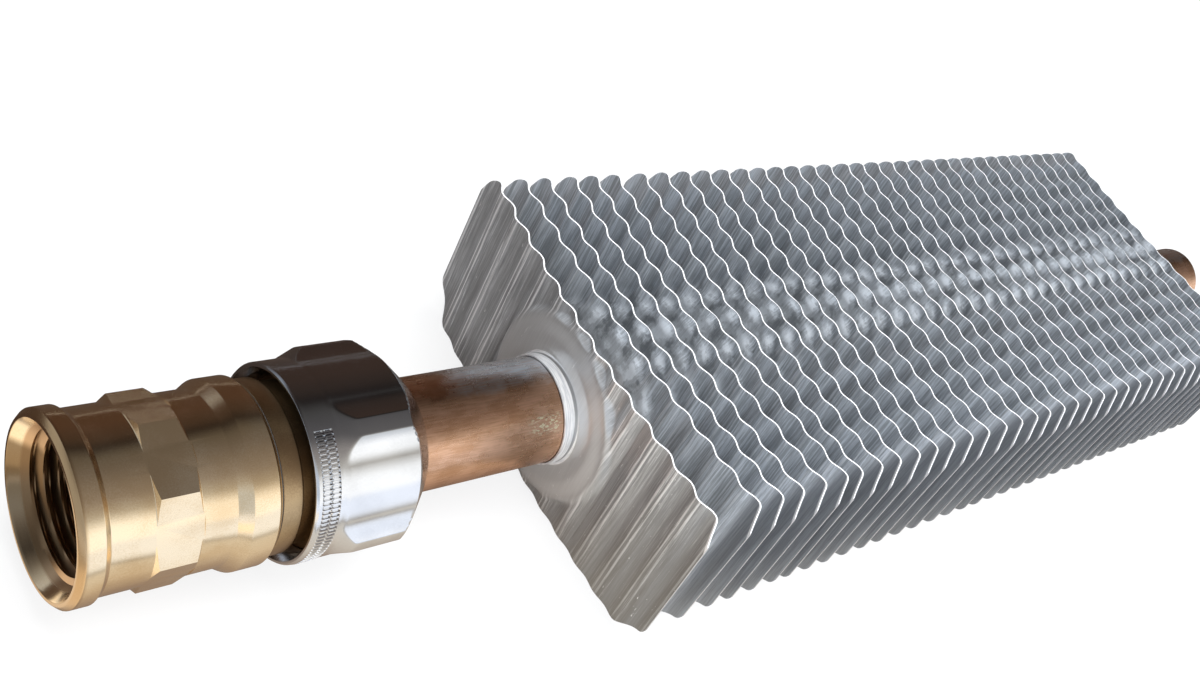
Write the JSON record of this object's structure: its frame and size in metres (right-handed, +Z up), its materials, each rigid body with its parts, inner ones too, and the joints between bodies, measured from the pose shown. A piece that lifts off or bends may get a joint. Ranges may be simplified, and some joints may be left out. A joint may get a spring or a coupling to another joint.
{
  "type": "finned tube convector",
  "caption": "Copper heating tube through a long stack of corrugated aluminium fins, with a clamped brass coupling and a ribbed union nut on one end.",
  "frame": {"origin": "centre of the coupling's open mouth, on its front face and on the tube's axis", "axes": "+X along the tube from the mouth towards the fins and the bare end, +Y across the fins, +Z up from the fins' lower edges"},
  "size_m": [0.3041, 0.078, 0.035],
  "materials": {
    "copper": "drawn copper, lightly scratched",
    "fin_aluminium": "rolled sheet, satin",
    "brass": "turned, bright",
    "plated_brass": "nickel plated, bright",
    "seal_fibre": "flat fibre seal",
    "seal_rubber": "moulded rubber"
  },
  "bodies": {
    "root": {"copper_tube": "copper", "coupling_body": "brass", "body_seal": "seal_fibre", "nipple": "brass", "cone_seal": "seal_rubber", "clamping_ring": "brass", "union_nut": "plated_brass", "fin_01": "fin_aluminium", "fin_02": "fin_aluminium", "fin_03": "fin_aluminium", "fin_04": "fin_aluminium", "fin_05": "fin_aluminium", "fin_06": "fin_aluminium", "fin_07": "fin_aluminium", "fin_08": "fin_aluminium", "fin_09": "fin_aluminium", "fin_10": "fin_aluminium", "fin_11": "fin_aluminium", "fin_12": "fin_aluminium", "fin_13": "fin_aluminium", "fin_14": "fin_aluminium", "fin_15": "fin_aluminium", "fin_16": "fin_aluminium", "fin_17": "fin_aluminium", "fin_18": "fin_aluminium", "fin_19": "fin_aluminium", "fin_20": "fin_aluminium", "fin_21": "fin_aluminium", "fin_22": "fin_aluminium", "fin_23": "fin_aluminium", "fin_24": "fin_aluminium", "fin_25": "fin_aluminium", "fin_26": "fin_aluminium", "fin_27": "fin_aluminium", "fin_28": "fin_aluminium", "fin_29": "fin_aluminium", "fin_30": "fin_aluminium", "fin_31": "fin_aluminium", "fin_32": "fin_aluminium", "fin_33": "fin_aluminium", "fin_34": "fin_aluminium", "fin_35": "fin_aluminium", "fin_36": "fin_aluminium"}
  },
  "joints": []
}
